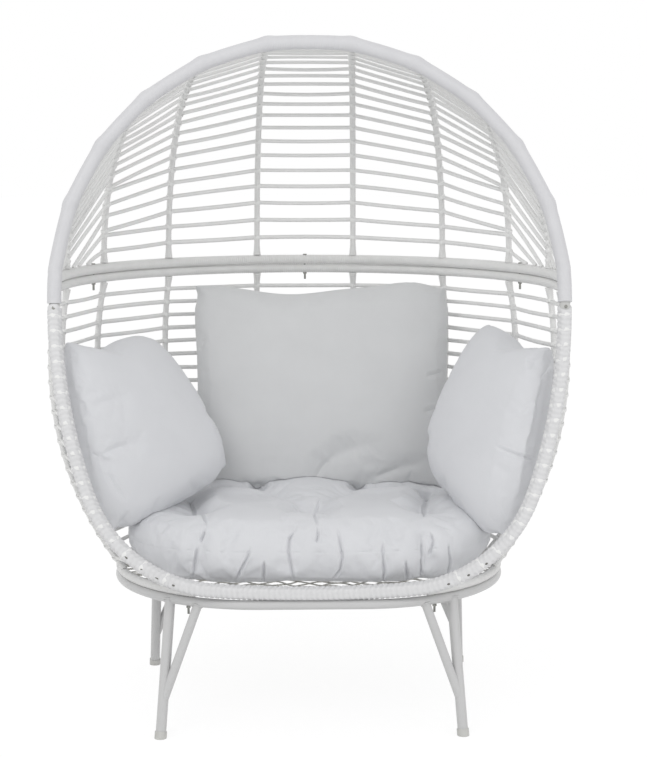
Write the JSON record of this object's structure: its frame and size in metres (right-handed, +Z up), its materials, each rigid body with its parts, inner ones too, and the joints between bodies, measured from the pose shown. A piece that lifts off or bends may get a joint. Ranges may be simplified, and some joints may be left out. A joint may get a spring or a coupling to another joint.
{
  "type": "egg chair",
  "caption": "Free-standing egg-shaped garden chair: a cord-wound steel shell split at mid height on a ring base with splayed legs, with loose cushions.",
  "frame": {"origin": "on the floor, at the middle of the chair's outer box", "axes": "+Z up, -Y the way the chair faces, +X to the right of someone looking at its front"},
  "size_m": [1.1044, 0.7446, 1.4505],
  "materials": {
    "base_paint": "satin powder coat",
    "foot_cap": "moulded, matt",
    "fastener": "zinc plated",
    "spigot_steel": "plain",
    "core_steel": "primed",
    "wicker": "wound synthetic cane",
    "rib_wrap": "wound synthetic cane",
    "rim_wrap": "finely wound synthetic cane",
    "cord": "extruded synthetic cane",
    "net": "twisted cord",
    "seat_fabric": "plain weave",
    "back_fabric": "plain weave",
    "side_fabric": "plain weave"
  },
  "bodies": {
    "root": {"base_ring": "base_paint", "front_left_leg": "base_paint", "front_right_leg": "base_paint", "rear_left_leg": "base_paint", "rear_right_leg": "base_paint", "front_left_brace": "base_paint", "front_right_brace": "base_paint", "rear_left_brace": "base_paint", "rear_right_brace": "base_paint", "foot_caps": "foot_cap", "base_bolts": "fastener", "base_nuts": "fastener", "floor_ring_tube": "core_steel", "floor_ring_wrap": "wicker", "seat_net": "net", "basket_rim_tube": "core_steel", "basket_rim_wrap": "wicker", "basket_top_tube": "core_steel", "basket_top_wrap": "wicker", "basket_rib_rods": "core_steel", "basket_left_rib_wraps": "rib_wrap", "basket_right_rib_wraps": "rib_wrap", "basket_back_cords": "cord", "basket_left_cords": "cord", "basket_right_cords": "cord", "rim_spigots": "spigot_steel", "rim_screws": "fastener", "split_bolts": "fastener", "split_nuts": "fastener", "hood_rim_tube": "core_steel", "hood_rim_wrap": "rim_wrap", "hood_base_tube": "core_steel", "hood_base_wrap": "wicker", "hood_rib_rods": "core_steel", "hood_left_rib_wraps": "rib_wrap", "hood_right_rib_wraps": "rib_wrap", "hood_back_cords": "cord", "hood_left_cords": "cord", "hood_right_cords": "cord", "seat_cushion": "seat_fabric", "back_cushion": "back_fabric", "left_cushion": "side_fabric", "right_cushion": "side_fabric"}
  },
  "joints": []
}
